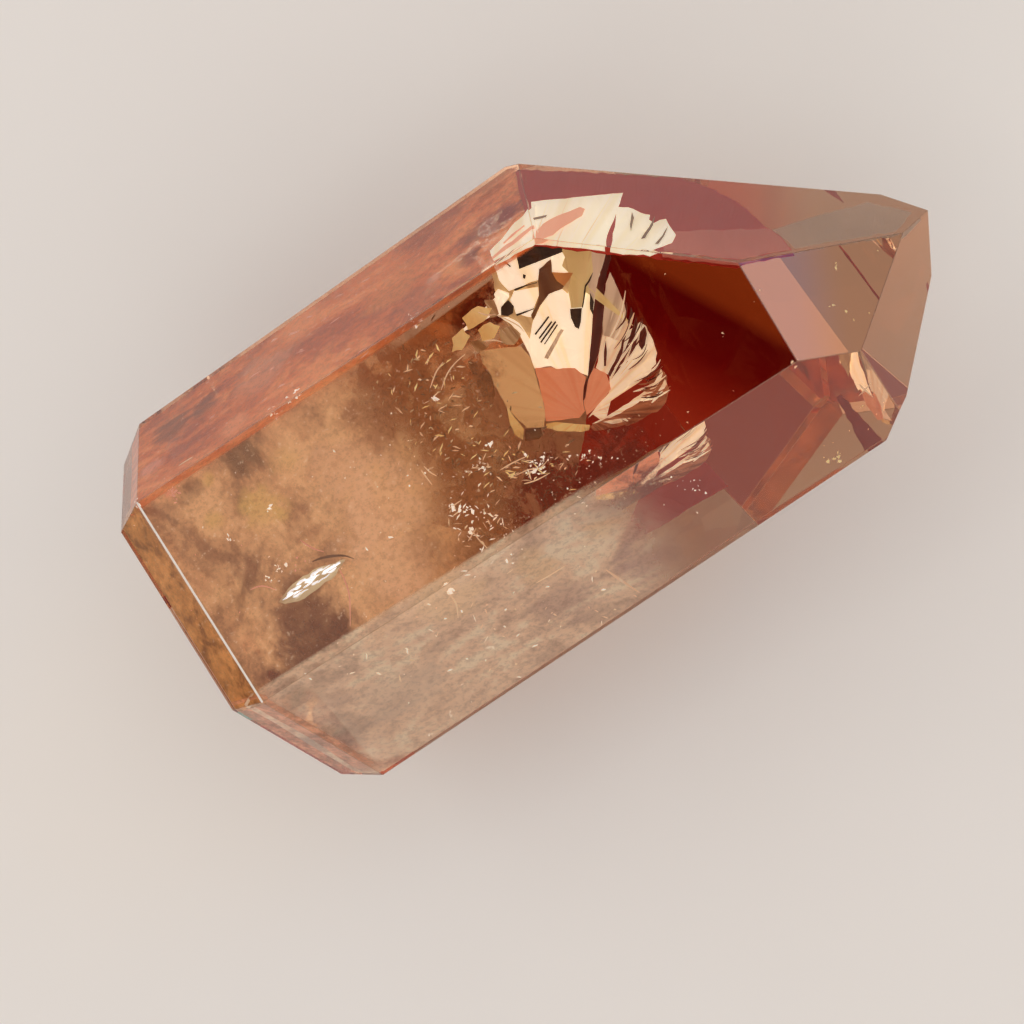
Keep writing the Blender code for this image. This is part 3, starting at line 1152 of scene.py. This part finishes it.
white_film = crack_film(
    "white_film", (1.0, 0.90, 0.76), (0.90, 0.72, 0.54), (0.7, 0.5, 0.36), lines=0.8, painted_glow=0.5)
thread_film = crack_film("thread_film", (0.96, 0.70, 0.44), (0.84, 0.54, 0.32), (1.0, 0.92, 0.8), painted_glow=0.25)
pink_film = crack_film("pink_film", (0.92, 0.46, 0.32), (0.80, 0.36, 0.24), (1.0, 0.8, 0.7), painted_glow=0.2)
FRONT_CRUMBS = (
    (435, 398, 1.5, 1.5, 4, 3.5), (271, 508, 1.2, 1.2, 3, 2.6), (232, 539, 4, 2, 5, 2.0),
    (279, 570, 4, 4, 12, 1.6), (271, 580, 5, 2.5, 9, 1.5), (366, 549, 0.5, 0.5, 1, 2.0),
    (391, 537, 0.5, 0.5, 1, 2.2), (334, 451, 0.5, 0.5, 1, 1.8), (269, 558, 0.5, 0.5, 1, 1.4),
    (246, 612, 0.5, 0.5, 1, 1.8), (262, 697, 1, 1, 3, 2.2), (139, 504, 0.5, 0.8, 2, 1.8),
    (335, 661, 1, 1, 2, 1.8), (299, 396, 3, 3, 7, 2.4), (288, 403, 3, 2, 6, 2.0), (277, 413, 5, 3, 8, 1.6),
    (415, 322, 2, 3, 6, 2.4), (447, 586, 3, 3, 8, 3.4), (490, 446, 2, 2, 5, 2.4), (539, 465, 7, 5, 34, 1.9),
    (591, 458, 10, 3, 24, 1.7), (481, 468, 9, 4, 18, 1.4), (456, 508, 5, 4, 9, 2.4),
    (481, 510, 7, 5, 16, 2.0), (472, 531, 2, 2, 4, 2.2), (512, 540, 14, 12, 22, 1.3),
    (430, 470, 18, 14, 16, 1.1), (350, 520, 90, 60, 60, 0.8), (560, 490, 35, 20, 30, 1.0),
)
# Painted glints in gold under the tip's front face, with a few crumbs of dust among them
TIP_GLINTS_AND_CRUMBS = (
    (836, 267, 0.6, 2.5, 4, 1.8), (847, 312, 0.6, 0.6, 2, 1.6), (854, 319, 0.5, 0.8, 2, 1.6),
    (832, 305, 0.9, 0.9, 4, 2.0), (760, 290, 0.3, 0.3, 1, 0.9), (880, 290, 20, 30, 9, 0.7),
)
# Painted highlights: gold crumbs where the tip of the wide side mirrors the light
WIDE_TIP_HIGHLIGHTS = (
    (832, 459, 7, 3, 10, 2.4), (850, 440, 16, 10, 6, 0.9), (870, 400, 10, 10, 6, 0.8),
)
RED_CRUMBS = (
    (723, 337, 1.5, 3, 3, 1.0), (665, 274, 0.3, 0.3, 1, 1.6), (732, 251, 0.3, 0.3, 1, 1.8),
    (733, 391, 0.3, 0.3, 1, 1.2), (792, 361, 0.8, 0.6, 3, 2.0), (754, 302, 0.3, 0.3, 1, 1.0),
    (650, 431, 20, 10, 14, 0.9),
)
PINK_CRUMBS = (
    (157, 467, 6, 4, 16, 2.2), (172, 492, 4, 5, 14, 2.0), (300, 560, 10, 6, 14, 1.2),
    (222, 600, 30, 30, 26, 1.0), (420, 300, 14, 16, 20, 1.2),
)
SIDE_CRUMBS = (
    (511, 559, 4, 3, 8, 2.2), (491, 648, 3, 1.5, 5, 2.4), (451, 712, 3, 2, 5, 2.2),
    (430, 734, 2, 1.5, 4, 2.4), (600, 590, 50, 30, 40, 1.0), (440, 670, 60, 30, 50, 1.0),
    (690, 487, 8, 8, 14, 1.4),
)
crumbs("front_crumbs", FRONT_CRUMBS, under(FRONT, 1.2), white_film, 41)
crumbs("tip_glints_and_crumbs", TIP_GLINTS_AND_CRUMBS, under(FRONT_TIP, 0.5), gold_film, 46)
crumbs("wide_tip_highlights", WIDE_TIP_HIGHLIGHTS, under(WIDE_SIDE, 0.5), gold_film, 47)
crumbs("window_crumbs", RED_CRUMBS, under(FRONT, 0.8), thread_film, 42)
crumbs("pink_crumbs", PINK_CRUMBS, under(FRONT, 1.0), pink_film, 43)
crumbs("side_crumbs", SIDE_CRUMBS, under(WIDE_SIDE, 1.0), white_film, 44)
crumbs("bevel_crumbs", ((275, 718, 4, 1.5, 7, 1.8),), under(WIDE_BEVEL, 0.55), white_film, 45)

# %% The silver slit
SLIT_BED = (279, 602, 288, 589, 303, 576, 323, 566, 346, 559, 336, 575, 315, 591, 299, 601, 285, 604)
SLIT_ARC = (312, 562, 322, 558, 334, 556, 345, 556, 354, 559)
silver_film = crack_film(
    "silver_film", (0.95, 0.97, 1.0), (0.78, 0.80, 0.82), (0.35, 0.33, 0.30), painted_glow=0.6)


def smooth_chain(numbers, steps=4):
    """More points along a chain of pixels, on a smooth curve through them."""
    points = [Vector(point) for point in pixels(*numbers)]
    padded = [points[0]] + points + [points[-1]]
    chain = []
    for a, b, c, d in zip(padded, padded[1:], padded[2:], padded[3:]):
        for step in range(steps):
            t = step / steps
            chain.append(0.5 * (2 * b + (c - a) * t + (2 * a - 5 * b + 4 * c - d) * t ** 2
                                + (3 * b - a - 3 * c + d) * t ** 3))
    return chain + [points[-1]]


def spindle(start, end, girth_px, count, length_px, seed):
    """Slender blades side by side, gathered in the shape of a spindle."""
    rng = random.Random(seed)
    run = Vector(end) - Vector(start)
    aside = Vector((-run.y, run.x)).normalized()
    paths = []
    for number in range(count):
        share = (number + rng.random()) / count
        off = aside * rng.uniform(-0.5, 0.5) * girth_px * sin(pi * (0.08 + 0.84 * share))
        middle = Vector(start) + run * share + off
        reach = run.normalized() * rng.uniform(0.5, 1.0) * length_px * 0.5
        paths.append(bowed(middle - reach, middle + reach, rng.uniform(-1.0, 1.0), 6))
    return paths


blades = spindle((287, 597), (337, 564), 12, 34, 14, 61)
widths = [0.9 + 0.6 * (number % 3) for number in range(len(blades))]
lay(("slit_bed", under(FRONT, 1.5), bed_film, 1.0, 46, SLIT_BED))
ribbons("slit_blades", blades, widths, under(FRONT, 1.3), silver_film)
ribbons("slit_arc", [smooth_chain(SLIT_ARC)], [2.6], under(FRONT, 1.4), shade_film)

# %% Threads
WHITE_THREADS = (
    (441, 390, 447, 374, 455, 363, 465, 354), (430, 388, 436, 372, 443, 362),
    (498, 316, 506, 319, 519, 326, 524, 332), (478, 312, 487, 315, 496, 314),
    (421, 470, 426, 477, 432, 485), (424, 466, 430, 472, 437, 476), (524, 484, 537, 480, 550, 473),
    (500, 470, 512, 463, 527, 456), (515, 476, 528, 470, 540, 468, 548, 460),
    (473, 532, 480, 541, 489, 550), (449, 509, 456, 504, 462, 500), (453, 516, 459, 511, 461, 503),
    (455, 566, 450, 575, 445, 584), (180, 472, 190, 466, 203, 460), (468, 541, 473, 533, 476, 528),
    (484, 341, 494, 340, 503, 342),
)
PINK_THREADS = (
    (339, 569, 344, 579, 349, 594, 350, 611, 350, 626), (250, 590, 262, 586, 276, 590),
    (300, 540, 312, 548, 324, 552),
)
WIDE_THREADS_AND_SPARKLE = (
    (606, 570, 622, 581, 640, 593), (536, 583, 552, 574, 566, 565), (448, 592, 456, 604, 458, 618),
    # The last two threads cross at one point, as a painted sparkle
    (859, 384, 865, 390, 873, 397), (871, 384, 865, 390, 859, 396),
)


def threads(name, paths, widths, depth_mm, face, material):
    """Fine threads on smooth curves through their pixels."""
    ribbons(name, [smooth_chain(path) for path in paths], widths, under(face, depth_mm), material)


threads("white_threads", WHITE_THREADS, [1.2] * len(WHITE_THREADS), 1.6, FRONT, thread_film)
threads("pink_threads", PINK_THREADS, [1.3] * len(PINK_THREADS), 1.0, FRONT, pink_film)
threads("wide_threads_and_sparkle", WIDE_THREADS_AND_SPARKLE, [2.4, 1.2, 1.2, 1.6, 1.2], 0.6, WIDE_SIDE, thread_film)

# %% Splinters
def splinters(name, middle, spread, count, length_px, lean, place, materials, seed):
    """Short straight splinters that cross each other round a place, in one piece per material."""
    rng = random.Random(seed)
    for number, material in enumerate(materials):
        outlines = []
        for step in range(count):
            start = Vector((rng.gauss(middle[0], spread[0]), rng.gauss(middle[1], spread[1])))
            turn = radians(rng.gauss(*lean))
            reach = Vector((cos(turn), -sin(turn))) * rng.uniform(0.3, 1.0) * length_px
            aside = Vector((reach.y, -reach.x)).normalized() * rng.uniform(0.4, 1.5)
            points = [start, start + reach * 0.4 + aside, start + reach, start + reach * 0.7 - aside * 0.5]
            if all(inside_stone(place(pixel), 0.3) for pixel in points):
                outlines.append(points)
        thin_sheets(f"{name}_{number + 1}", outlines, place, material, 0.0, seed, 0.02, 0.5)


GOLDS = (thread_film, shade_film, gold_film)
PALES = (thread_film, white_film)
BROWNS = (shade_film, bed_film)
SPLINTERS = (
    ("golden", (430, 385), (20, 30), 26, 11, (55, 45), under(FRONT, 2.4), GOLDS),
    ("pale", (512, 462), (36, 12), 34, 10, (15, 45), under(FRONT, 2.6), GOLDS),
    ("low", (476, 525), (16, 16), 22, 9, (40, 60), under(FRONT, 2.2), PALES),
    ("brown", (425, 420), (40, 32), 60, 7, (50, 60), under(FRONT, 2.8), BROWNS),
    ("side", (300, 360), (70, 40), 30, 14, (33, 6), under(NARROW_SIDE, 0.5), (pink_film,)),
    ("wide", (500, 625), (100, 30), 40, 8, (25, 50), under(WIDE_SIDE, 0.6), PALES),
)
for number, (name, *how) in enumerate(SPLINTERS):
    splinters(name + "_splinters", *how, 51 + number)
